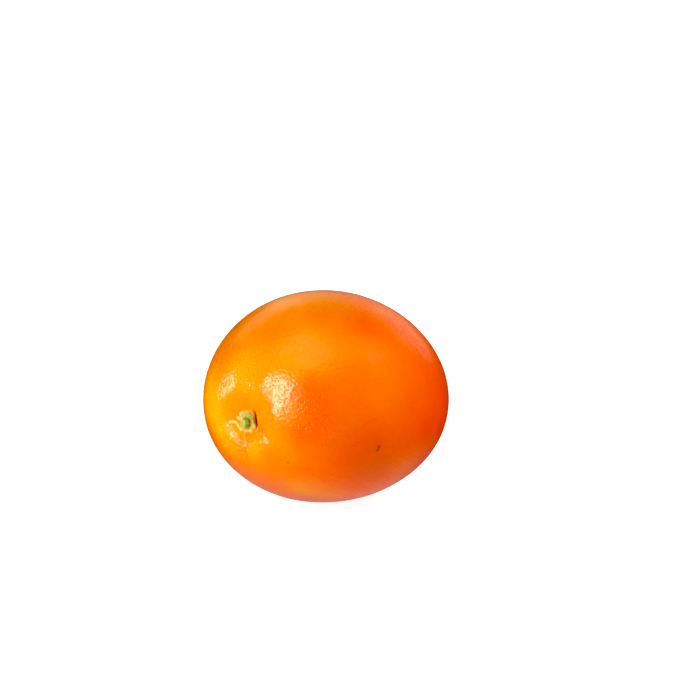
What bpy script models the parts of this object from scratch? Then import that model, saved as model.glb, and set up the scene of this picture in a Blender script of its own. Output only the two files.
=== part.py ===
"""A ripe orange as picked, lying on its side: the fruit, its calyx and the stub of its stem.

Units are metres and +Z is up. The pieces are made in the stem frame, where +Z runs out of the
stem end, +X points up and +Y sideways, and an empty then lays that frame down, so that the stem
end faces -X and the middle of the flat spot that the fruit rests on is the world's origin.
"""

import math

import bmesh
import bpy
from mathutils import Matrix, Vector, noise

# The fruit's half sizes: along the stem axis, across it and up.
HALF_LENGTH = 0.0415
HALF_WIDTH = 0.0385
HALF_HEIGHT = 0.0336

# It is slightly fuller towards the stem, and faintly three-sided seen along the stem.
FULLER_AT_STEM = 0.025
THREE_SIDED = 0.019
THREE_SIDED_TURN = math.radians(17.5)

# Broad low lumps, as on any fruit that grew against leaves and twigs.
LUMP_SPACING = 0.022
LUMP_HEIGHT = 0.00018

# The peel's pits, fewer and wider than the real ones, which are about 1.2 mm apart.
PIT_SPACING = 0.0050
PIT_DEPTH = 0.00040
PIT_RIM = 0.62

# The stem grew a little off the axis, in a steep-sided hollow with furrows running out of it, and
# the peel between them swells or sags. Turns go round the stem from the top.
STEM_CENTRE = Vector((-0.0012, 0.0027))
STEM_HOLLOW_DEPTH = 0.0032
STEM_HOLLOW_RADIUS = 0.0086
STEM_HOLLOW_STEEPNESS = 3.55
STEM_HOLLOW_OFF_ROUND = 0.06
STEM_HOLLOW_LONG_WAY = math.radians(-136)
SEAT_RADIUS = 0.0042
FURROWS = (
    # turn, depth, half width, reach
    (math.radians(8), 0.00047, 0.0031, 0.020),
    (math.radians(104), 0.00091, 0.0025, 0.017),
    (math.radians(176), 0.00088, 0.0020, 0.018),
    (math.radians(251), 0.00107, 0.0024, 0.015),
    (math.radians(315), 0.00063, 0.0018, 0.0155),
)
SWELLINGS = (
    # turn, distance, height, half length, half width
    (math.radians(45), 0.0139, -0.00035, 0.0034, 0.0038),
    (math.radians(91), 0.0094, -0.00014, 0.0031, 0.0042),
    (math.radians(130), 0.0112, 0.00040, 0.0031, 0.0052),
    (math.radians(222), 0.0119, -0.00021, 0.0037, 0.0047),
    (math.radians(240), 0.0148, 0.00006, 0.0035, 0.0035),
    (math.radians(288), 0.0162, -0.00011, 0.0039, 0.0040),
    (math.radians(296.5), 0.0112, 0.00018, 0.0033, 0.0042),
    (math.radians(341), 0.0157, 0.00028, 0.0038, 0.0020),
)

# The blossom end is a shallow crater with uneven folds and a small scar in its middle.
CRATER_DEPTH = 0.0012
CRATER_RADIUS = 0.0058
CRATER_FOLDS = (
    # number round the crater, turn, height
    (3, math.radians(20), 0.00016),
    (7, math.radians(75), 0.00009),
)
SCAR_RADIUS = 0.0016
SCAR_HEIGHT = 0.00035

# How it lies: the stem end is a little higher, and the peel is pressed flat underneath.
STEM_RISE = math.radians(5.4)
FLAT_SPOT_DEPTH = 0.0005
SMOOTH_NEAR_FLAT_SPOT = (0.009, 0.014)

# The calyx is a thin disc with five uneven blunt sepals, and the stub is a low round button.
CALYX_DISC = 0.0026
SEPALS = (
    # turn, reach, half angle
    (math.radians(3), 0.0035, math.radians(42)),
    (math.radians(51), 0.0041, math.radians(36)),
    (math.radians(150), 0.0037, math.radians(46)),
    (math.radians(205), 0.0033, math.radians(34)),
    (math.radians(250), 0.0034, math.radians(26)),
)
SEPAL_BLUNTNESS = 1.6
CALYX_THICKNESS = 0.0009
CALYX_RIM = 0.0004
STUB_RADIUS = 0.0014
STUB_LONG = 1.3
STUB_HEIGHT = 0.0018
STUB_WAIST = 0.4
GAP = 0.0003

FRUIT_SEGMENTS = 100
FRUIT_RINGS = 56
RING_CROWDING = 0.5
CALYX_SEGMENTS = 60
CALYX_RINGS = 16
STUB_SEGMENTS = 32
STUB_RINGS = 16


def clear_scene():
    for obj in list(bpy.data.objects):
        bpy.data.objects.remove(obj, do_unlink=True)


def material(name, color, roughness):
    """A plain Principled material. The colour is linear."""
    made = bpy.data.materials.new(name)
    made.use_nodes = True
    shader = made.node_tree.nodes["Principled BSDF"]
    shader.inputs["Base Color"].default_value = (*color, 1.0)
    shader.inputs["Roughness"].default_value = roughness
    shader.inputs["Metallic"].default_value = 0.0
    return made


def ease(value, low, high):
    """0 below low, 1 above high, and a smooth rise between them."""
    share = min(max((value - low) / (high - low), 0.0), 1.0)
    return share * share * (3.0 - 2.0 * share)


def girth(direction):
    """How much wider than its ellipsoid the fruit is in this direction."""
    across = direction.x**2 + direction.y**2
    sides = math.cos(3.0 * (math.atan2(direction.y, direction.x) - THREE_SIDED_TURN))
    return 1.0 + THREE_SIDED * sides * across + FULLER_AT_STEM * direction.z


def stem_hollow(x, y):
    """How far the peel lies under the plain body at a place counted from the stem."""
    long_way = math.cos(math.atan2(y, x) - STEM_HOLLOW_LONG_WAY)
    share = math.hypot(x, y) / (STEM_HOLLOW_RADIUS * (1.0 + STEM_HOLLOW_OFF_ROUND * long_way))
    depth = STEM_HOLLOW_DEPTH * math.exp(-(share**STEM_HOLLOW_STEEPNESS))
    for turn, distance, height, half_length, half_width in SWELLINGS:
        along = (x * math.cos(turn) + y * math.sin(turn) - distance) / half_length
        aside = (y * math.cos(turn) - x * math.sin(turn)) / half_width
        depth -= height * math.exp(-(along**2) - aside**2)
    for turn, deep, half_width, reach in FURROWS:
        along = x * math.cos(turn) + y * math.sin(turn)
        aside = y * math.cos(turn) - x * math.sin(turn)
        begun = ease(along, 0.5 * SEAT_RADIUS, 1.6 * SEAT_RADIUS)
        faded = 1.0 - ease(along, 0.4 * reach, reach)
        depth += deep * begun * faded * math.exp(-((aside / half_width) ** 2))
    return depth


def blossom_hollow(x, y):
    """How far the peel lies inside the plain body near the blossom end."""
    radius = math.hypot(x, y)
    ring = math.exp(-((radius / CRATER_RADIUS) ** 2))
    depth = CRATER_DEPTH * ring
    for number, turn, height in CRATER_FOLDS:
        fold = math.cos(number * (math.atan2(y, x) - turn))
        depth += height * fold * ring * ease(radius, 0.0, 0.8 * CRATER_RADIUS)
    return depth - SCAR_HEIGHT * (1.0 - ease(radius, 0.4 * SCAR_RADIUS, SCAR_RADIUS))


def relief(point, down):
    """The height of lumps and pits over the plain body. Both fade at the stem and the flat spot."""
    from_stem = math.hypot(point.x - STEM_CENTRE.x, point.y - STEM_CENTRE.y)
    if point.z < 0.0:
        from_stem = HALF_LENGTH
    from_bottom = point.cross(down).length if point.dot(down) > 0.0 else HALF_LENGTH
    clear = ease(from_bottom, *SMOOTH_NEAR_FLAT_SPOT) * ease(from_stem, SEAT_RADIUS, 3.0 * SEAT_RADIUS)
    lump = LUMP_HEIGHT * noise.noise(point / LUMP_SPACING)
    nearest = noise.voronoi(point / PIT_SPACING)[0][0]
    pit = PIT_DEPTH * max(0.0, 1.0 - (nearest / PIT_RIM) ** 2)
    return clear * (lump - pit)


def peel_point(direction, down):
    """Where the peel lies in this direction from the middle of the fruit."""
    wide = girth(direction)
    point = Vector(
        (
            HALF_HEIGHT * wide * direction.x,
            HALF_WIDTH * wide * direction.y,
            HALF_LENGTH * direction.z,
        )
    )
    outward = Vector(
        (point.x / HALF_HEIGHT**2, point.y / HALF_WIDTH**2, point.z / HALF_LENGTH**2)
    ).normalized()
    moved = point + relief(point, down) * outward
    if direction.z > 0.0:
        moved.z -= stem_hollow(point.x - STEM_CENTRE.x, point.y - STEM_CENTRE.y)
    else:
        moved.z += blossom_hollow(point.x, point.y)
    return moved


def seat_height(x, y):
    """The height of the peel under the calyx, at a place counted from the stem."""
    wide = 1.0 + FULLER_AT_STEM
    inside = 1.0 - ((x + STEM_CENTRE.x) / (HALF_HEIGHT * wide)) ** 2
    inside -= ((y + STEM_CENTRE.y) / (HALF_WIDTH * wide)) ** 2
    return HALF_LENGTH * math.sqrt(inside) - stem_hollow(x, y)


def calyx_thickness(share):
    """The calyx's thickness at a share of the way to its rim."""
    middle = math.sqrt(max(0.0, 1.0 - share**2))
    return 0.5 * CALYX_RIM + (CALYX_THICKNESS - 0.5 * CALYX_RIM) * middle


def calyx_rim(turn):
    """The calyx's radius at a turn round the stem."""
    radius = CALYX_DISC
    for middle, reach, half_angle in SEPALS:
        away = abs((turn - middle + math.pi) % (2.0 * math.pi) - math.pi) / half_angle
        tip = max(0.0, 1.0 - away**SEPAL_BLUNTNESS)
        radius = max(radius, CALYX_DISC + (reach - CALYX_DISC) * tip)
    return radius


def calyx_top(x, y):
    """The height of the calyx's upper face."""
    share = min(1.0, math.hypot(x, y) / calyx_rim(math.atan2(y, x)))
    return seat_height(x, y) + GAP + calyx_thickness(share)


def sphere(segments, rings):
    """A ball of radius 1 with its poles on the stem axis."""
    mesh = bmesh.new()
    bmesh.ops.create_uvsphere(mesh, u_segments=segments, v_segments=rings, radius=1.0)
    return mesh


def finish(name, shape, material_of_it, collection, parent):
    """Turns the shape into a smooth-shaded object of the collection."""
    bmesh.ops.recalc_face_normals(shape, faces=shape.faces)
    data = bpy.data.meshes.new(name)
    shape.to_mesh(data)
    shape.free()
    data.shade_smooth()
    data.set_sharp_from_angle(angle=math.radians(40))
    data.materials.append(material_of_it)
    obj = bpy.data.objects.new(name, data)
    obj.parent = parent
    collection.objects.link(obj)
    return obj


def fruit_shape(down):
    """The fruit in the stem frame, with the flat spot cut, and the middle of that spot."""
    shape = sphere(FRUIT_SEGMENTS, FRUIT_RINGS)
    stem_aside = Vector((STEM_CENTRE.x / HALF_HEIGHT, STEM_CENTRE.y / HALF_WIDTH, 0.0))
    for vertex in shape.verts:
        # Rings move towards both poles, where the hollow, the furrows and the crater are, and the
        # rings of the stem's half move aside to run round the stem.
        from_pole = math.acos(max(-1.0, min(1.0, vertex.co.z)))
        crowded = from_pole - 0.5 * RING_CROWDING * math.sin(2.0 * from_pole)
        turn = math.atan2(vertex.co.y, vertex.co.x)
        direction = Vector(
            (
                math.sin(crowded) * math.cos(turn),
                math.sin(crowded) * math.sin(turn),
                math.cos(crowded),
            )
        )
        direction += ease(direction.z, 0.0, 1.0) * stem_aside
        vertex.co = peel_point(direction.normalized(), down)
    lowest = max(shape.verts, key=lambda vertex: vertex.co.dot(down)).co
    cut = bmesh.ops.bisect_plane(
        shape,
        geom=shape.verts[:] + shape.edges[:] + shape.faces[:],
        plane_co=lowest - FLAT_SPOT_DEPTH * down,
        plane_no=down,
        clear_outer=True,
    )
    rim = [part for part in cut["geom_cut"] if isinstance(part, bmesh.types.BMEdge)]
    flat = bmesh.ops.holes_fill(shape, edges=rim, sides=len(rim))["faces"][0]
    return shape, flat.calc_center_median_weighted()


def calyx_shape():
    """A star that lies in the stem hollow, following the peel under it."""
    shape = sphere(CALYX_SEGMENTS, CALYX_RINGS)
    for vertex in shape.verts:
        share = math.hypot(vertex.co.x, vertex.co.y)
        turn = math.atan2(vertex.co.y, vertex.co.x)
        x = calyx_rim(turn) * share * math.cos(turn)
        y = calyx_rim(turn) * share * math.sin(turn)
        above = calyx_thickness(share)
        if vertex.co.z < 0.0:
            above = 0.5 * CALYX_RIM * share**4
        vertex.co = Vector((x, y, seat_height(x, y) + GAP + above))
    bmesh.ops.translate(shape, verts=shape.verts, vec=STEM_CENTRE.to_3d())
    return shape


def stub_shape():
    """A round button with a flat foot that follows the top of the calyx."""
    shape = sphere(STUB_SEGMENTS, STUB_RINGS)
    for vertex in shape.verts:
        x = STUB_LONG * STUB_RADIUS * vertex.co.x
        y = STUB_RADIUS * vertex.co.y
        foot = calyx_top(x, y) + GAP
        height = STUB_HEIGHT * (STUB_WAIST + (1.0 - STUB_WAIST) * vertex.co.z)
        if vertex.co.z < 0.0:
            height = STUB_WAIST * STUB_HEIGHT * math.sqrt(1.0 + vertex.co.z)
        vertex.co = Vector((x, y, foot + height))
    bmesh.ops.translate(shape, verts=shape.verts, vec=STEM_CENTRE.to_3d())
    return shape


def build():
    clear_scene()
    collection = bpy.data.collections.new("orange")
    bpy.context.scene.collection.children.link(collection)
    peel = material("waxy_peel", (1.0, 0.20, 0.004), 0.38)
    sepal = material("dry_sepals", (0.74, 0.62, 0.26), 0.7)
    stem = material("green_stem", (0.22, 0.36, 0.05), 0.45)

    lay_down = Matrix.Rotation(STEM_RISE - math.radians(90), 3, "Y")
    down = lay_down.inverted() @ Vector((0.0, 0.0, -1.0))
    shape, spot = fruit_shape(down)

    stem_frame = bpy.data.objects.new("stem_frame", None)
    stem_frame.rotation_euler = lay_down.to_euler()
    stem_frame.location = -(lay_down @ spot)
    collection.objects.link(stem_frame)

    finish("fruit", shape, peel, collection, stem_frame)
    finish("calyx", calyx_shape(), sepal, collection, stem_frame)
    finish("stem_stub", stub_shape(), stem, collection, stem_frame)


build()
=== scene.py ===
"""The looks of a ripe orange lying on its side: rind, calyx and stem stub, with floor, light and camera.

Metres, +Z up. Each section below makes one piece with its own sizes, colours, mesh and material. The pieces
are shaped in the stem frame, where +Z runs out of the stem end, +X up and +Y sideways, and are then laid
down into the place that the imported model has.
"""

import math

import bpy
import numpy as np
from mathutils import Matrix, Vector, noise


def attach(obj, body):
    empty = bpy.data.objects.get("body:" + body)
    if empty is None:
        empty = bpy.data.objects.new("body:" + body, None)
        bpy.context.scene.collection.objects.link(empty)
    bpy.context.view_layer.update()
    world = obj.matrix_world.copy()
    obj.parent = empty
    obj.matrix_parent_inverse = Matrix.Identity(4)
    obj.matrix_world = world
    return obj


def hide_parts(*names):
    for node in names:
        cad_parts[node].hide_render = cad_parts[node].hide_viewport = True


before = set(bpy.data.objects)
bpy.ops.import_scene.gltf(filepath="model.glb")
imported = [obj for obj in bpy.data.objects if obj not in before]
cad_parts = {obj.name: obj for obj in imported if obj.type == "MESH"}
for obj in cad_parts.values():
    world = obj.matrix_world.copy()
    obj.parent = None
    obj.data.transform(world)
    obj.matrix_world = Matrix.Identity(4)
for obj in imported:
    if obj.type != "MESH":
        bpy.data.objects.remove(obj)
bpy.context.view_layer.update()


# Where the fruit lies.
# The stem end points along -X and is a little raised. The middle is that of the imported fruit.

STEM_RISE = math.radians(5.4)
MIDDLE = Vector((-0.0007887, -0.0017724, 0.0327431))
LAY_DOWN = Matrix.Rotation(STEM_RISE - math.radians(90), 3, "Y")
TO_PLACE = Matrix.Translation(MIDDLE) @ LAY_DOWN.to_4x4()


# Shared steps.
# Small functions that the sections below use for their meshes and materials.


def ease(value, low, high):
    """0 below low, 1 above high, and a smooth rise between them."""
    share = np.clip((value - low) / (high - low), 0.0, 1.0)
    return share * share * (3.0 - 2.0 * share)


def points_of(obj):
    """The object's points as an array, one row each."""
    flat = np.zeros(3 * len(obj.data.vertices))
    obj.data.vertices.foreach_get("co", flat)
    return flat.reshape(-1, 3)


def put_points(obj, points):
    """Moves the object's points."""
    obj.data.vertices.foreach_set("co", points.ravel())
    obj.data.update()


def select_only(obj):
    """Selects this object alone, as the one that operators act on."""
    bpy.ops.object.select_all(action="DESELECT")
    obj.select_set(True)
    bpy.context.view_layer.objects.active = obj


def linear(hex_colour):
    """The linear values, with alpha, of an sRGB colour such as #FF8800."""
    parts = [int(hex_colour[i : i + 2], 16) / 255.0 for i in (1, 3, 5)]
    values = [c / 12.92 if c <= 0.04045 else ((c + 0.055) / 1.055) ** 2.4 for c in parts]
    return (*values, 1.0)


def add(material, kind, sockets=(), **settings):
    """Adds one node, with its settings and what goes into its sockets, a value or another node's output."""
    tree = material.node_tree
    node = tree.nodes.new(kind)
    for name, value in settings.items():
        setattr(node, name, value)
    for socket, value in dict(sockets).items():
        if isinstance(value, bpy.types.NodeSocket):
            tree.links.new(value, node.inputs[socket])
        else:
            node.inputs[socket].default_value = value
    return node


def new_material(name):
    """An empty node material and its output node."""
    made = bpy.data.materials.new(name)
    made.use_nodes = True
    made.node_tree.nodes.clear()
    return made, made.node_tree.nodes.new("ShaderNodeOutputMaterial")


def places(material):
    """Each point's place in the scene and its place in the stem frame."""
    place = add(material, "ShaderNodeTexCoord").outputs["Object"]
    laid = {"Vector": place, "Location": MIDDLE, "Rotation": LAY_DOWN.to_euler()}
    return place, add(material, "ShaderNodeMapping", laid, vector_type="TEXTURE").outputs["Vector"]


def noise_at(material, where, scale, detail):
    """A noise pattern between 0 and 1, whose scale is about its number of waves in a metre."""
    sockets = {"Vector": where, "Scale": scale, "Detail": detail}
    return add(material, "ShaderNodeTexNoise", sockets).outputs["Fac"]


def distance(material, where, point):
    """How far each place is from one point."""
    return add(material, "ShaderNodeVectorMath", {0: where, 1: point}, operation="DISTANCE").outputs["Value"]


def stored(material, name):
    """A value that the mesh keeps at its points."""
    return add(material, "ShaderNodeAttribute", attribute_name=name).outputs["Fac"]


def calculate(material, operation, *values):
    """One arithmetic step on values or other nodes' outputs."""
    return add(material, "ShaderNodeMath", dict(enumerate(values)), operation=operation).outputs[0]


def smooth_step(material, value, low, high, top=1.0):
    """0 at low, top at high, and a smooth change between them."""
    sockets = {"Value": value, "From Min": low, "From Max": high, "To Max": top}
    return add(material, "ShaderNodeMapRange", sockets, interpolation_type="SMOOTHSTEP").outputs["Result"]


def blend(material, share, first, second):
    """The first colour where share is 0 and the second where it is 1."""
    return add(material, "ShaderNodeMix", {0: share, 6: first, 7: second}, data_type="RGBA").outputs[2]


def bumpy(material, height, strength, depth):
    """The surface's direction, tilted by a pattern of heights. Depth is in metres."""
    sockets = {"Height": height, "Strength": strength, "Distance": depth}
    return add(material, "ShaderNodeBump", sockets).outputs["Normal"]


def cover(piece, material, output, sockets):
    """Gives the piece this material, with the surface that the sockets describe."""
    surface = add(material, "ShaderNodeBsdfPrincipled", sockets)
    material.node_tree.links.new(surface.outputs["BSDF"], output.inputs["Surface"])
    piece.data.materials.append(material)


# The rind.
# The orange itself, ripened on the tree: a waxy coloured rind over white pith, grown in one piece.
# Its oil glands leave big pits about 1.4 mm apart and small ones between them, and the stem end is drawn
# into a hollow with furrows.

HALF_LENGTH = 0.0415
HALF_WIDTH = 0.0385
HALF_HEIGHT = 0.0336
FULLER_AT_STEM = 0.025
THREE_SIDED = 0.019
THREE_SIDED_TURN = math.radians(17.5)
LUMP_SPACING = 0.022
LUMP_HEIGHT = 0.00018
RIPPLE_SPACING = 0.0065
RIPPLE_HEIGHT = 0.00005
STEM_CENTRE = Vector((-0.0012, 0.0027))
STEM_HOLLOW_DEPTH = 0.0032
STEM_HOLLOW_RADIUS = 0.0086
STEM_HOLLOW_STEEPNESS = 3.55
STEM_HOLLOW_OFF_ROUND = 0.06
STEM_HOLLOW_LONG_WAY = math.radians(-136)
SEAT_RADIUS = 0.0042
AT_STEM = Matrix.Translation(STEM_CENTRE.to_3d())

# Furrows that run out from the stem, and swells or, below zero, sags around it. Both tables were fitted to
# the highlights in the photo by another program, and rounded.
FURROWS = (
    # turn, depth, half width, reach
    (math.radians(8), 0.00047, 0.0031, 0.020),
    (math.radians(104), 0.00091, 0.0025, 0.017),
    (math.radians(176), 0.00088, 0.0020, 0.018),
    (math.radians(251), 0.00107, 0.0024, 0.015),
    (math.radians(315), 0.00063, 0.0018, 0.0155),
)
MOUNDS = (
    # turn, distance, height, half length, half width
    (math.radians(45), 0.0139, -0.00035, 0.0034, 0.0038),
    (math.radians(91), 0.0094, -0.00014, 0.0031, 0.0042),
    (math.radians(130), 0.0112, 0.00040, 0.0031, 0.0052),
    (math.radians(222), 0.0119, -0.00021, 0.0037, 0.0047),
    (math.radians(240), 0.0148, 0.00006, 0.0035, 0.0035),
    (math.radians(288), 0.0162, -0.00011, 0.0039, 0.0040),
    (math.radians(296.5), 0.0112, 0.00018, 0.0033, 0.0042),
    (math.radians(341), 0.0157, 0.00028, 0.0038, 0.0020),
)

# The blossom end's crater, with folds round it and a small scar in its middle.
CRATER_DEPTH = 0.0012
CRATER_RADIUS = 0.0058
CRATER_FOLDS = (
    # number, turn, height
    (3, math.radians(20), 0.00016),
    (7, math.radians(75), 0.00009),
)
SCAR_RADIUS = 0.0016
SCAR_HEIGHT = 0.00035

# Big pits and, at some of the places between them, small ones. Depths are metres.
PIT_DEPTH = 0.00012
SMALL_PIT_DEPTH = 0.00012
SMALL_PIT_SHARE = 0.40
PITS_FADE = (0.0032, 0.0058)

# The mesh starts as a unit sphere whose points, shifted at random, become the big pits. Within each reach
# of the stem in turn, its faces are cut into smaller ones.
SPHERE_LEVEL = 6
PIT_SHIFT = 0.011
SHIFT_SEED = 7
DEPTH_SEED = 11
FINER_WITHIN = (0.0058, 0.0041)

# A narrow cleft where the rind has grown against the calyx. Its ends are counted from the stem.
CLEFT_START = Vector((0.0052, -0.0018))
CLEFT_END = Vector((-0.0022, -0.0036))
CLEFT_HALF_WIDTH = 0.00055
CLEFT_DEPTH = 0.0012
CLEFT_BOW = -0.00008

# The rind is paler in a collar round the calyx, and painted more golden on the side that faces the lamps:
# painted light.
COLLAR_PALE = 0.35
COLLAR_FADES = (0.0030, 0.0052)
PAINTED_LIGHT_SIDE = Vector((-0.218, 0.716, 0.664))

# Soft patches of painted light and shade, with some uneven ripening among them, each strongest at its place
# and gone at its reach. They were set while comparing renders with the photo. Most places were read off it
# and worked out by another program.
LIGHT_SHADE_AND_RIPENING_PATCHES = (
    # place in the stem frame, reach, share, colour
    (Vector((0.0222, -0.0118, 0.0288)), 0.0150, 0.50, "#FF9E00"),
    (Vector((0.0178, -0.0061, 0.0349)), 0.0120, 0.60, "#FFA400"),
    (Vector((-0.0018, 0.0158, 0.0379)), 0.0120, 0.80, "#FFB000"),
    (Vector((0.0109, -0.0181, 0.0344)), 0.0100, 0.70, "#FF6400"),
    (Vector((0.0044, -0.0220, 0.0340)), 0.0100, 0.40, "#FF5A00"),
    (Vector((0.0107, -0.0332, 0.0171)), 0.0110, 0.45, "#FF8200"),
    # painted shade on the lower side, away from the lamps
    (Vector((-0.0080, -0.0300, 0.0250)), 0.0150, 0.55, "#E64600"),
    (Vector((0.0040, 0.0215, 0.0340)), 0.0115, 0.50, "#FFC800"),
    (Vector((0.0150, 0.0062, 0.0368)), 0.0140, 0.50, "#FFB800"),
    (Vector((-0.0090, -0.0010, 0.0395)), 0.0065, 0.50, "#FFB400"),
    (Vector((-0.0010, -0.0175, 0.0375)), 0.0090, 0.75, "#FF6200"),
    (Vector((-0.0080, 0.0100, 0.0388)), 0.0090, 0.40, "#FFBC00"),
    (Vector((0.0284, -0.0184, 0.0082)), 0.0130, 0.55, "#FF4C00"),
    (Vector((0.0129, -0.0354, 0.0012)), 0.0100, 0.45, "#FF6C00"),
    (Vector((-0.0240, -0.0165, 0.0225)), 0.0110, 0.50, "#FF9000"),
    (Vector((-0.0211, -0.0123, 0.0297)), 0.0110, 0.65, "#FF9800"),
    (Vector((-0.0141, -0.0315, 0.0180)), 0.0150, 0.80, "#E35E00"),
    (Vector((-0.0140, -0.0353, 0.0068)), 0.0105, 0.30, "#FF8400"),
    (Vector((-0.0111, -0.0074, 0.0384)), 0.0090, 0.60, "#FF7A00"),
    (Vector((0.0306, -0.0069, 0.0165)), 0.0090, 0.50, "#FF7400"),
    (Vector((-0.0020, -0.0391, 0.0004)), 0.0070, 0.50, "#F64200"),
)

# Dark specks on the rind, at places found in the same way.
SPECKS = (
    # place in the stem frame, size, colour
    (Vector((-0.0050, -0.0341, 0.0201)), 0.00080, "#9A3A0C"),
    (Vector((-0.0061, -0.0338, 0.0203)), 0.00070, "#A8440E"),
    (Vector((-0.0111, -0.0124, 0.0370)), 0.00035, "#A03A08"),
)

# Healed scars: pale low ridges of cork.
SCARS = (
    # points counted from the stem, half width, height, how pale
    (((-0.0015, 0.0051), (-0.0014, 0.0063), (-0.0018, 0.0075)), 0.00044, 0.00024, 1.40),
    (((-0.0033, 0.0029), (-0.0024, 0.0041), (-0.0015, 0.0051)), 0.00042, 0.00016, 1.10),
    (((0.0001, 0.0031), (0.0003, 0.0043)), 0.00050, 0.00016, 1.25),
    (((-0.0028, 0.0018), (-0.0046, 0.0016), (-0.0062, 0.0015), (-0.0082, 0.0010)), 0.00036, 0.00010, 0.50),
)


def stem_hollow(x, y):
    """How far the rind lies under the plain body at a place counted from the stem."""
    long_way = np.cos(np.arctan2(y, x) - STEM_HOLLOW_LONG_WAY)
    share = np.hypot(x, y) / (STEM_HOLLOW_RADIUS * (1.0 + STEM_HOLLOW_OFF_ROUND * long_way))
    depth = STEM_HOLLOW_DEPTH * np.exp(-(share**STEM_HOLLOW_STEEPNESS))
    for turn, distance, height, half_length, half_width in MOUNDS:
        along = (x * math.cos(turn) + y * math.sin(turn) - distance) / half_length
        aside = (y * math.cos(turn) - x * math.sin(turn)) / half_width
        depth = depth - height * np.exp(-(along**2) - aside**2)
    for turn, deep, half_width, reach in FURROWS:
        along = x * math.cos(turn) + y * math.sin(turn)
        aside = y * math.cos(turn) - x * math.sin(turn)
        begun = ease(along, 0.5 * SEAT_RADIUS, 1.6 * SEAT_RADIUS)
        faded = 1.0 - ease(along, 0.4 * reach, reach)
        depth = depth + deep * begun * faded * np.exp(-((aside / half_width) ** 2))
    return depth


def blossom_hollow(x, y):
    """How far the rind lies inside the plain body near the blossom end."""
    radius = np.hypot(x, y)
    ring = np.exp(-((radius / CRATER_RADIUS) ** 2))
    depth = CRATER_DEPTH * ring
    for number, turn, height in CRATER_FOLDS:
        fold = np.cos(number * (np.arctan2(y, x) - turn))
        depth = depth + height * fold * ring * ease(radius, 0.0, 0.8 * CRATER_RADIUS)
    return depth - SCAR_HEIGHT * (1.0 - ease(radius, 0.4 * SCAR_RADIUS, SCAR_RADIUS))


def cleft_depth(x, y):
    """How deep the cleft beside the calyx is at a place counted from the stem."""
    run = CLEFT_END - CLEFT_START
    from_x, from_y = x - CLEFT_START.x, y - CLEFT_START.y
    share = (from_x * run.x + from_y * run.y) / run.length_squared
    aside = (from_x * run.y - from_y * run.x) / run.length
    belly = np.sin(math.pi * np.clip(share, 0.0, 1.0) ** 1.1)
    half_width = CLEFT_HALF_WIDTH * (0.45 + 0.55 * belly)
    return CLEFT_DEPTH * belly * np.exp(-(((aside - CLEFT_BOW * belly) / half_width) ** 2))


def scar_share(x, y, points, half_width):
    """1 on the line through the points and 0 away from it, for places counted from the stem."""
    nearest = np.full_like(x, 1.0)
    for (from_x, from_y), (to_x, to_y) in zip(points, points[1:]):
        run_x, run_y = to_x - from_x, to_y - from_y
        share = ((x - from_x) * run_x + (y - from_y) * run_y) / (run_x**2 + run_y**2)
        share = np.clip(share, 0.0, 1.0)
        nearest = np.minimum(nearest, np.hypot(x - from_x - share * run_x, y - from_y - share * run_y))
    return np.exp(-((nearest / half_width) ** 2))


bpy.ops.object.select_all(action="DESELECT")
bpy.ops.mesh.primitive_ico_sphere_add(subdivisions=SPHERE_LEVEL, radius=1.0)
rind = bpy.context.object
rind.name = "rind"
pit_count = len(rind.data.vertices)
face_count = len(rind.data.polygons)
bpy.ops.object.mode_set(mode="EDIT")
bpy.ops.mesh.select_all(action="SELECT")
bpy.ops.transform.vertex_random(offset=PIT_SHIFT, uniform=1.0, seed=SHIFT_SEED)
bpy.ops.transform.tosphere(value=1.0)
bpy.ops.mesh.subdivide(number_cuts=2)
bpy.ops.object.mode_set(mode="OBJECT")

# Each of the first faces now has one new point in its middle, and those points come last.
first_middle = len(rind.data.vertices) - face_count

# The stem end gets finer faces for the calyx's bed and the cleft.
for reach in FINER_WITHIN:
    bpy.ops.object.mode_set(mode="EDIT")
    bpy.ops.mesh.select_all(action="DESELECT")
    bpy.ops.object.mode_set(mode="OBJECT")
    for face in rind.data.polygons:
        near_x = face.center.x * HALF_HEIGHT - STEM_CENTRE.x
        near_y = face.center.y * HALF_WIDTH - STEM_CENTRE.y
        near = math.hypot(near_x, near_y) < reach
        face.select = face.center.z > 0.0 and near
    bpy.ops.object.mode_set(mode="EDIT")
    bpy.ops.mesh.subdivide(number_cuts=1)
    bpy.ops.mesh.quads_convert_to_tris()
    bpy.ops.object.mode_set(mode="OBJECT")

direction = points_of(rind)
direction /= np.linalg.norm(direction, axis=1)[:, None]
across = direction[:, 0] ** 2 + direction[:, 1] ** 2
sides = np.cos(3.0 * (np.arctan2(direction[:, 1], direction[:, 0]) - THREE_SIDED_TURN))
girth = 1.0 + THREE_SIDED * sides * across + FULLER_AT_STEM * direction[:, 2]
radii = np.stack([HALF_HEIGHT * girth, HALF_WIDTH * girth, np.full_like(girth, HALF_LENGTH)], axis=1)
body = direction * radii
outward = body / np.array([HALF_HEIGHT**2, HALF_WIDTH**2, HALF_LENGTH**2])
outward /= np.linalg.norm(outward, axis=1)[:, None]
at_stem = direction[:, 2] > 0.0
stem_x, stem_y = body[:, 0] - STEM_CENTRE.x, body[:, 1] - STEM_CENTRE.y
from_stem = np.where(at_stem, np.hypot(stem_x, stem_y), 1.0)

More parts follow.
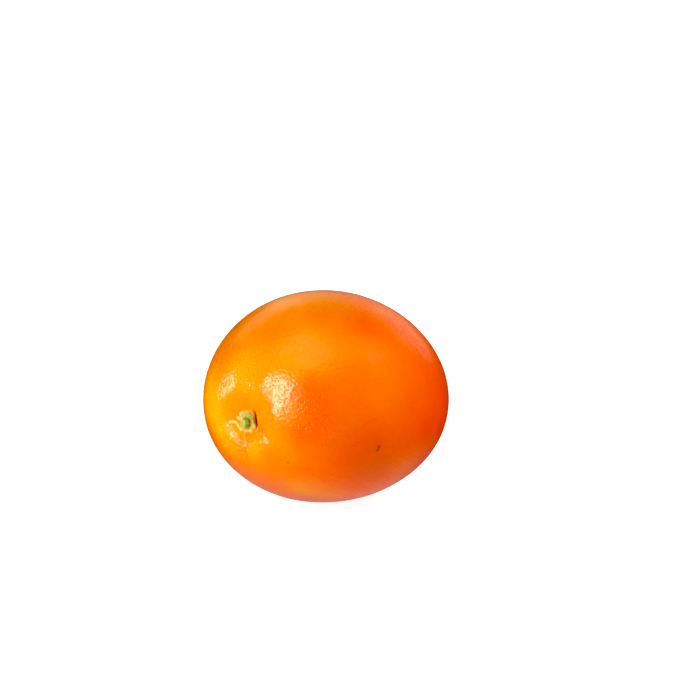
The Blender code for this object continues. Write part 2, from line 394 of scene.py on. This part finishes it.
# Broad lumps and faint ripples, then the pits: their places are the first sphere's own points.
lump = np.array([noise.noise(Vector(point) / LUMP_SPACING) for point in body])
ripple = np.array([noise.noise(Vector(point) / RIPPLE_SPACING) for point in body])
clear = ease(from_stem, SEAT_RADIUS, 3.0 * SEAT_RADIUS)
height = clear * (LUMP_HEIGHT * lump + RIPPLE_HEIGHT * ripple)
chance = np.random.default_rng(DEPTH_SEED)
pit = np.zeros(len(body))
pit[:pit_count] = chance.uniform(0.55, 1.0, pit_count)
between = chance.random(face_count) < SMALL_PIT_SHARE
small = np.where(between, chance.uniform(0.5, 1.0, face_count), 0.0)
small_pit = np.zeros(len(body))
small_pit[first_middle : first_middle + face_count] = small
open_rind = ease(from_stem, *PITS_FADE)
height -= open_rind * (PIT_DEPTH * pit + SMALL_PIT_DEPTH * small_pit)

shaped = body + height[:, None] * outward
shaped[:, 2] -= np.where(at_stem, stem_hollow(stem_x, stem_y), 0.0)
cleft_at = np.where(at_stem, cleft_depth(stem_x, stem_y), 0.0)
shaped[:, 2] -= cleft_at
shaped[:, 2] += np.where(at_stem, 0.0, blossom_hollow(body[:, 0], body[:, 1]))
scar = COLLAR_PALE * (1.0 - ease(from_stem, *COLLAR_FADES))
for points, half_width, raised, pale in SCARS:
    share = np.where(at_stem, scar_share(stem_x, stem_y, points, half_width), 0.0)
    shaped[:, 2] += raised * share
    scar = np.maximum(scar, pale * share)
placed = shaped @ np.array(LAY_DOWN).T + np.array(MIDDLE)
placed[:, 2] = np.maximum(placed[:, 2], 0.0)
put_points(rind, placed)
for name, values in (
    ("pit", open_rind * (pit + small_pit)),
    ("cleft", cleft_at / CLEFT_DEPTH),
    ("scar", scar),
):
    rind.data.attributes.new(name, "FLOAT", "POINT").data.foreach_set("value", values.astype(np.float32))
select_only(rind)
bpy.ops.object.shade_smooth()

# Waxed orange rind: deep orange with a yellower stem end, slightly clear, so light spreads under its
# surface and the shaded side turns redder. The wax gives a soft clear gloss that the pits break up.
waxed_rind, output = new_material("waxed_orange_rind")
place, stem_place = places(waxed_rind)
along_stem = add(waxed_rind, "ShaderNodeSeparateXYZ", {0: stem_place}).outputs["Z"]
stem_side = smooth_step(waxed_rind, along_stem, 0.034, 0.0405)
blossom_side = smooth_step(waxed_rind, along_stem, 0.012, -0.012)
# Painted light: the side that faces the lamps is painted golden, and the rest stays deep orange.
towards_painted_light = add(
    waxed_rind,
    "ShaderNodeVectorMath",
    {0: place, 1: PAINTED_LIGHT_SIDE},
    operation="DOT_PRODUCT",
).outputs["Value"]
painted_light_share = add(
    waxed_rind,
    "ShaderNodeMapRange",
    {"Value": towards_painted_light, "From Min": -0.005, "From Max": 0.044},
).outputs["Result"]
mottle = noise_at(waxed_rind, place, 90.0, 3.0)
deep_colour = blend(waxed_rind, mottle, linear("#FB5800"), linear("#FF6500"))
painted_lit_colour = blend(waxed_rind, mottle, linear("#FF8000"), linear("#FF9100"))
rind_colour = blend(waxed_rind, painted_light_share, deep_colour, painted_lit_colour)
blossom_share = calculate(waxed_rind, "MULTIPLY", blossom_side, 0.75)
rind_colour = blend(waxed_rind, blossom_share, rind_colour, linear("#F54D00"))
rind_colour = blend(waxed_rind, stem_side, rind_colour, linear("#FF9200"))
# Patches of painted light and shade, with some uneven ripening.
for patch_place, patch_reach, patch_share, patch_hex in LIGHT_SHADE_AND_RIPENING_PATCHES:
    away = distance(waxed_rind, stem_place, patch_place)
    patch = smooth_step(waxed_rind, away, patch_reach, 0.0, patch_share)
    rind_colour = blend(waxed_rind, patch, rind_colour, linear(patch_hex))

# The pits are a little redder and darker than the rind between them: partly the glands' own colour and partly
# painted shade in the pits.
pore = smooth_step(waxed_rind, stored(waxed_rind, "pit"), 0.25, 0.85)
pit_colour_and_shade = calculate(waxed_rind, "MULTIPLY", pore, 0.26)
rind_colour = blend(waxed_rind, pit_colour_and_shade, rind_colour, linear("#E04A00"))
speck_noise = noise_at(waxed_rind, place, 1500.0, 2.0)
for speck_place, speck_size, speck_hex in SPECKS:
    away = distance(waxed_rind, stem_place, speck_place)
    ragged = calculate(waxed_rind, "MULTIPLY_ADD", speck_noise, speck_size, away)
    speck = smooth_step(waxed_rind, ragged, 1.7 * speck_size, 0.6 * speck_size)
    rind_colour = blend(waxed_rind, speck, rind_colour, linear(speck_hex))
cork = noise_at(waxed_rind, place, 1100.0, 3.0)
torn = calculate(waxed_rind, "MULTIPLY_ADD", cork, 0.7, stored(waxed_rind, "scar"))
scar_pale = smooth_step(waxed_rind, torn, 0.45, 1.25)
rind_colour = blend(waxed_rind, scar_pale, rind_colour, linear("#F6CC74"))
# Painted shade: the cleft is painted dark red-brown, as shade in the crease beside the calyx.
cleft_painted_shade = smooth_step(waxed_rind, stored(waxed_rind, "cleft"), 0.25, 0.75)
rind_colour = blend(waxed_rind, cleft_painted_shade, rind_colour, linear("#963A08"))
fine = noise_at(waxed_rind, place, 1500.0, 3.0)
relief = calculate(waxed_rind, "SUBTRACT", calculate(waxed_rind, "MULTIPLY", fine, 0.35), pore)
fine_bump = bumpy(waxed_rind, relief, 1.0, 0.00008)
cover(
    rind,
    waxed_rind,
    output,
    {
        "Base Color": rind_colour,
        "Roughness": 0.34,
        "IOR": 1.18,
        "Subsurface Weight": 0.25,
        "Subsurface Radius": (1.0, 0.30, 0.08),
        "Subsurface Scale": 0.003,
        "Coat Weight": 0.6,
        "Coat Roughness": 0.17,
        "Coat IOR": 1.45,
        "Normal": fine_bump,
        "Coat Normal": fine_bump,
    },
)
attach(rind, "root")
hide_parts("fruit")


# The calyx.
# The small star of sepals that held the flower and stays on the picked fruit. It is dry, thin and cream
# coloured at its points, still greenish in the middle, and grown fast to the rind under it.

SEPALS = (
    # turn, reach, half angle
    (math.radians(3), 0.0035, math.radians(42)),
    (math.radians(51), 0.0041, math.radians(36)),
    (math.radians(150), 0.0037, math.radians(46)),
    (math.radians(205), 0.0033, math.radians(34)),
    (math.radians(250), 0.0034, math.radians(26)),
)
CALYX_DISC = 0.0026
RAGGED = 0.025
CALYX_THICK = 0.00050
CALYX_EDGE = 0.00018
CALYX_OUTLINE = 120
CALYX_CUTS = 9
TIP_LIFT = 0.00016
EDGE_CURL = 0.00010
CRUMPLE_SPACING = 0.0011
RIB_HEIGHT = 0.00007
GREEN_MIDDLE = Vector((0.0009, -0.0004, 0.0))


def seat_height(x, y):
    """The height of the rind under the calyx, in the stem frame, at a place counted from the stem."""
    wide = 1.0 + FULLER_AT_STEM
    across_x, across_y = (x + STEM_CENTRE.x) / (HALF_HEIGHT * wide), (y + STEM_CENTRE.y) / (HALF_WIDTH * wide)
    return HALF_LENGTH * np.sqrt(1.0 - across_x**2 - across_y**2) - stem_hollow(x, y)


def sepal_reach(turn):
    """The calyx's radius at a turn round the stem."""
    reach = np.full_like(turn, CALYX_DISC)
    for middle, tip, half_angle in SEPALS:
        away = np.abs((turn - middle + math.pi) % (2.0 * math.pi) - math.pi) / half_angle
        reach = np.maximum(reach, CALYX_DISC + (tip - CALYX_DISC) * np.clip(1.0 - away**1.6, 0.0, 1.0))
    return reach * (1.0 + RAGGED * np.sin(11.0 * turn + 2.0 * np.sin(3.0 * turn)))


def at_tips(radius):
    """0 on the calyx's disc and 1 well out on its points."""
    return ease(radius, CALYX_DISC, 1.45 * CALYX_DISC)


bpy.ops.object.select_all(action="DESELECT")
bpy.ops.mesh.primitive_circle_add(vertices=CALYX_OUTLINE, radius=1.0, fill_type="TRIFAN")
calyx = bpy.context.object
calyx.name = "sepals"
bpy.ops.object.mode_set(mode="EDIT")
bpy.ops.mesh.select_all(action="SELECT")
bpy.ops.mesh.subdivide(number_cuts=CALYX_CUTS)
bpy.ops.object.mode_set(mode="OBJECT")
flat = points_of(calyx)
share = np.hypot(flat[:, 0], flat[:, 1])
turn = np.arctan2(flat[:, 1], flat[:, 0])
reach = sepal_reach(turn)
x, y = reach * share * np.cos(turn), reach * share * np.sin(turn)
crumple = np.array([noise.noise(Vector((a, b, 0.0)) / CRUMPLE_SPACING) for a, b in zip(x, y)])
curl = (TIP_LIFT * at_tips(reach * share) + EDGE_CURL * share**3) * (1.0 + 0.8 * crumple)
put_points(calyx, np.stack([x, y, seat_height(x, y) + curl], axis=1))
thicken = calyx.modifiers.new("thickness", "SOLIDIFY")
thicken.thickness = CALYX_EDGE
thicken.offset = 0.0
select_only(calyx)
bpy.ops.object.modifier_apply(modifier=thicken.name)
made = points_of(calyx)
radius = np.hypot(made[:, 0], made[:, 1])
made_turn = np.arctan2(made[:, 1], made[:, 0])
share = radius / sepal_reach(made_turn)
upper = made[:, 2] > seat_height(made[:, 0], made[:, 1]) + TIP_LIFT * at_tips(radius)
ribs = 0.5 + 0.5 * np.cos(23.0 * made_turn + 3.0 * np.sin(2.0 * made_turn))
swell = (CALYX_THICK - CALYX_EDGE) * np.sqrt(np.clip(1.0 - share**2, 0.0, 1.0))
made[:, 2] += np.where(upper, swell + RIB_HEIGHT * ribs * ease(share, 0.3, 0.8), 0.0)
put_points(calyx, made)
calyx.data.transform(TO_PLACE @ AT_STEM)
select_only(calyx)
bpy.ops.object.shade_smooth_by_angle(angle=math.radians(50))

# Dry sepal tissue: matt and fibrous, cream at the points and yellow-green where it is still fresh.
dry_sepal, output = new_material("dry_sepal_tissue")
place, stem_place = places(dry_sepal)
flat_place = add(
    dry_sepal,
    "ShaderNodeVectorMath",
    {0: stem_place, 1: (1.0, 1.0, 0.0)},
    operation="MULTIPLY",
).outputs[0]
from_green = distance(dry_sepal, flat_place, GREEN_MIDDLE + STEM_CENTRE.to_3d())
mottle = noise_at(dry_sepal, place, 1500.0, 3.0)
uneven = calculate(dry_sepal, "MULTIPLY_ADD", mottle, 0.0016, from_green)
dryness = smooth_step(dry_sepal, uneven, 0.0025, 0.0037)
fleck = smooth_step(dry_sepal, noise_at(dry_sepal, place, 2600.0, 2.0), 0.40, 0.62)
fresh_colour = blend(dry_sepal, fleck, linear("#909A30"), linear("#D2C05C"))
dry_colour = blend(dry_sepal, fleck, linear("#DCA848"), linear("#FBD068"))
cover(
    calyx,
    dry_sepal,
    output,
    {
        "Base Color": blend(dry_sepal, dryness, fresh_colour, dry_colour),
        "Roughness": 0.62,
        "IOR": 1.4,
        "Subsurface Weight": 0.15,
        "Subsurface Radius": (1.0, 0.7, 0.3),
        "Subsurface Scale": 0.0006,
        "Normal": bumpy(dry_sepal, mottle, 1.0, 0.0002),
    },
)
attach(calyx, "root")
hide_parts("calyx")


# The stem stub.
# What is left of the stem after the clippers: a short fresh green button, woody under its thin bark, with
# a rounded cut end.

STUB_RADIUS = 0.0014
STUB_HEIGHT = 0.0018
STUB_LONG = 1.3
STUB_ASIDE = -0.0002
STUB_SUNK = 0.0002
STUB_SIDES = 24
STUB_DOME = (
    # inset as a share of the radius, rise as a share of the height
    (0.28, 0.16),
    (0.30, 0.07),
    (0.20, 0.0),
)
KNOT_SPACING = 0.0009
KNOT_HEIGHT = 0.00010

bpy.ops.object.select_all(action="DESELECT")
bpy.ops.mesh.primitive_cylinder_add(vertices=STUB_SIDES, radius=STUB_RADIUS, depth=STUB_HEIGHT)
stub = bpy.context.object
stub.name = "stem_button"
bpy.ops.object.mode_set(mode="EDIT")
bpy.ops.mesh.select_all(action="DESELECT")
bpy.ops.object.mode_set(mode="OBJECT")
for face in stub.data.polygons:
    face.select = face.normal.z > 0.9
bpy.ops.object.mode_set(mode="EDIT")
for inset, lift in STUB_DOME:
    bpy.ops.mesh.inset(thickness=inset * STUB_RADIUS, depth=0.0)
    bpy.ops.transform.translate(value=(0.0, 0.0, lift * STUB_HEIGHT))
bpy.ops.object.mode_set(mode="OBJECT")
rounded = stub.modifiers.new("rounded", "SUBSURF")
rounded.levels = 3
rounded.render_levels = 3
select_only(stub)
bpy.ops.object.modifier_apply(modifier=rounded.name)
made = points_of(stub)
made_turn = np.arctan2(made[:, 1], made[:, 0])
rise = ease(made[:, 2], -0.5 * STUB_HEIGHT, 0.6 * STUB_HEIGHT)
belly = 0.90 + 0.16 * np.sin(math.pi * rise) + 0.035 * np.sin(3.0 * made_turn + 1.0)
knots = np.array([noise.noise(Vector(point) / KNOT_SPACING) for point in made])
made[:, :2] *= (belly + 0.06 * knots)[:, None]
made[:, 0] = made[:, 0] * STUB_LONG + STUB_ASIDE
made[:, 2] += KNOT_HEIGHT * knots + 0.5 * STUB_HEIGHT
made[:, 2] += float(seat_height(0.0, 0.0)) + CALYX_THICK - STUB_SUNK
put_points(stub, made)
stub.data.transform(TO_PLACE @ AT_STEM)
select_only(stub)
bpy.ops.object.shade_smooth()

# Fresh green stem bark: smooth and slightly waxy, paler where it was bruised and with fine pale dots.
green_bark, output = new_material("fresh_green_bark")
place = add(green_bark, "ShaderNodeTexCoord").outputs["Object"]
mottle = noise_at(green_bark, place, 1300.0, 4.0)
spread = smooth_step(green_bark, mottle, 0.35, 0.68)
cover(
    stub,
    green_bark,
    output,
    {
        "Base Color": blend(green_bark, spread, linear("#86A03A"), linear("#C2D062")),
        "Roughness": 0.36,
        "IOR": 1.45,
        "Subsurface Weight": 0.1,
        "Subsurface Radius": (0.6, 1.0, 0.3),
        "Subsurface Scale": 0.0008,
        "Normal": bumpy(green_bark, mottle, 0.5, 0.00012),
    },
)
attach(stub, "root")
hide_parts("stem_stub")


# The floor.
# A plain white studio floor that runs out of the picture on all sides.

FLOOR_SIZE = 12.0
PAPER_WHITE = 0.53
GLOW_TO_CAMERA = 0.86
GLOW_ON_FRUIT = 0.38
POOL_CENTRE = Vector((-0.042, -0.042, 0.0))
POOL_REACH = 0.110
POOL_GLOW = 0.8

bpy.ops.object.select_all(action="DESELECT")
bpy.ops.mesh.primitive_plane_add(size=FLOOR_SIZE)
floor = bpy.context.object
floor.name = "studio_floor"

# Matt white paper, lit so brightly that it shows no shade. Its glow is set for each kind of ray: white to
# the camera, a weaker light on the fruit, and one bright pool that shows in the fruit's gloss.
matt_white, output = new_material("matt_white_paper")
place = add(matt_white, "ShaderNodeTexCoord").outputs["Object"]
pool = smooth_step(matt_white, distance(matt_white, place, POOL_CENTRE), POOL_REACH, 0.0, POOL_GLOW)
path = add(matt_white, "ShaderNodeLightPath").outputs
not_mirrored = calculate(matt_white, "SUBTRACT", 1.0, path["Is Glossy Ray"])
paper_white = calculate(matt_white, "MULTIPLY", not_mirrored, PAPER_WHITE)
paper = add(matt_white, "ShaderNodeBsdfDiffuse", {"Color": paper_white})
mirrored = calculate(matt_white, "MULTIPLY", path["Is Glossy Ray"], pool)
seen = calculate(matt_white, "MULTIPLY_ADD", path["Is Camera Ray"], GLOW_TO_CAMERA, mirrored)
strength = calculate(matt_white, "MULTIPLY_ADD", path["Is Diffuse Ray"], GLOW_ON_FRUIT, seen)
glow = add(matt_white, "ShaderNodeEmission", {"Strength": strength})
floor_shader = add(matt_white, "ShaderNodeAddShader", {0: paper.outputs[0], 1: glow.outputs[0]})
matt_white.node_tree.links.new(floor_shader.outputs[0], output.inputs["Surface"])
floor.data.materials.append(matt_white)


# The light.
# Soft studio light: a tall strip at the stem side, a broad soft panel further round, soft light from above
# and a pale room behind.

ROOM_LIGHT = 0.01


def soft_box(name, azimuth, elevation, distance, width, height, radiance, shows_in="both", colour="#FFFFFF"):
    """A rectangular light that faces the fruit and shows in its gloss, in its colour or in both.

    Radiance is what its face shows. Angles are in degrees, lengths in metres.
    """
    a, e = math.radians(azimuth), math.radians(elevation)
    towards = Vector((math.sin(a) * math.cos(e), -math.cos(a) * math.cos(e), math.sin(e)))
    bpy.ops.object.light_add(type="AREA", location=MIDDLE + distance * towards)
    lamp = bpy.context.object
    lamp.name = name
    lamp.rotation_euler = towards.to_track_quat("Z", "Y").to_euler()
    lamp.data.shape = "RECTANGLE"
    lamp.data.size = width
    lamp.data.size_y = height
    lamp.data.energy = radiance * math.pi * width * height
    lamp.data.color = linear(colour)[:3]
    lamp.visible_camera = False
    lamp.visible_glossy = shows_in != "colour"
    lamp.visible_diffuse = shows_in != "gloss"
    return lamp


# These show in the gloss, as panels and pale walls that the waxy rind mirrors. The side panel also lights
# its colour.
soft_box("strip_light", -97.8, 24.6, 1.2, 0.39, 0.86, 24.0, "gloss", "#FFFADF")
soft_box("side_panel", -154.8, 6.5, 1.2, 0.28, 0.30, 17.0, "both", "#FFFADF")
soft_box("overhead_panel", -99.0, 82.0, 1.5, 1.3, 1.0, 2.4, "gloss", "#FFF6D8")
soft_box("ceiling", 49.0, 57.0, 1.5, 0.95, 0.95, 0.95, "gloss", "#FFF6D8")
soft_box("back_wall", 110.0, 16.0, 2.6, 2.8, 1.5, 0.78, "gloss", "#FFF7CF")
soft_box("back_wall_middle", 101.0, 11.0, 2.5, 0.9, 0.5, 0.45, "gloss", "#FFF7CF")
soft_box("back_wall_left", 150.0, 25.0, 2.6, 1.5, 1.0, 1.0, "gloss", "#FFF7CF")
soft_box("back_wall_right", 75.0, 25.0, 2.6, 1.2, 1.0, 0.3, "gloss", "#FFF7CF")

# These light the rind's colour and don't show in its gloss.
soft_box("low_left", -114.5, 3.0, 1.6, 1.0, 0.7, 3.1, "colour")
soft_box("low_front_left", -92.0, 3.0, 1.6, 1.0, 0.7, 2.25, "colour")
soft_box("left_key", -97.5, 25.0, 1.6, 1.0, 0.7, 5.65, "colour")
soft_box("top_key", -80.0, 60.0, 1.6, 0.5, 0.5, 2.8, "colour")
soft_box("high_right", 45.5, 45.0, 1.6, 1.0, 1.0, 7.3, "colour")
soft_box("front_light", -14.5, 20.0, 1.6, 1.0, 0.7, 1.3, "colour")

# The room is white to the camera and gives next to no light.
room = bpy.data.worlds.new("pale_room")
room.use_nodes = True
bpy.context.scene.world = room
seen_directly = add(room, "ShaderNodeLightPath").outputs["Is Camera Ray"]
room_light = calculate(room, "ADD", seen_directly, ROOM_LIGHT)
backdrop = room.node_tree.nodes["Background"]
backdrop.inputs["Color"].default_value = (1.0, 1.0, 1.0, 1.0)
room.node_tree.links.new(room_light, backdrop.inputs["Strength"])
room.cycles_visibility.glossy = False


# The camera.
# It looks down a little at the stem end from about 0.63 m with a long lens.

AZIMUTH = math.radians(-54.5)
ELEVATION = math.radians(20.0)
DISTANCE = 0.627
LENS = 100.0
SENSOR = 36.0
PICTURE = 700.0
MIDDLE_SEEN_AT = (327.0, 396.4)
BLACK_LEVELS = (0.0, 0.030, 0.030)

back = Vector(
    (
        math.sin(AZIMUTH) * math.cos(ELEVATION),
        -math.cos(AZIMUTH) * math.cos(ELEVATION),
        math.sin(ELEVATION),
    )
)
right = Vector((math.cos(AZIMUTH), math.sin(AZIMUTH), 0.0))
facing = Matrix((right, back.cross(right), back)).transposed()
focal = LENS / SENSOR * PICTURE
off_axis = Vector(
    ((MIDDLE_SEEN_AT[0] - 0.5 * PICTURE) / focal, (0.5 * PICTURE - MIDDLE_SEEN_AT[1]) / focal, -1.0)
)
aside = Vector((0.0, 0.0, -1.0)).rotation_difference(off_axis.normalized()).to_matrix()
bpy.ops.object.camera_add(location=MIDDLE + DISTANCE * back)
camera = bpy.context.object
camera.rotation_euler = (facing @ aside.inverted()).to_euler()
camera.data.lens = LENS
camera.data.sensor_width = SENSOR
camera.data.clip_start = 0.01
bpy.context.scene.camera = camera

# The film cuts the darkest green and blue to black, as the photo's processing seems to have done.
film = bpy.context.scene.view_settings
film.view_transform = "Standard"
film.use_curve_mapping = True
film.curve_mapping.black_level = BLACK_LEVELS
film.curve_mapping.update()
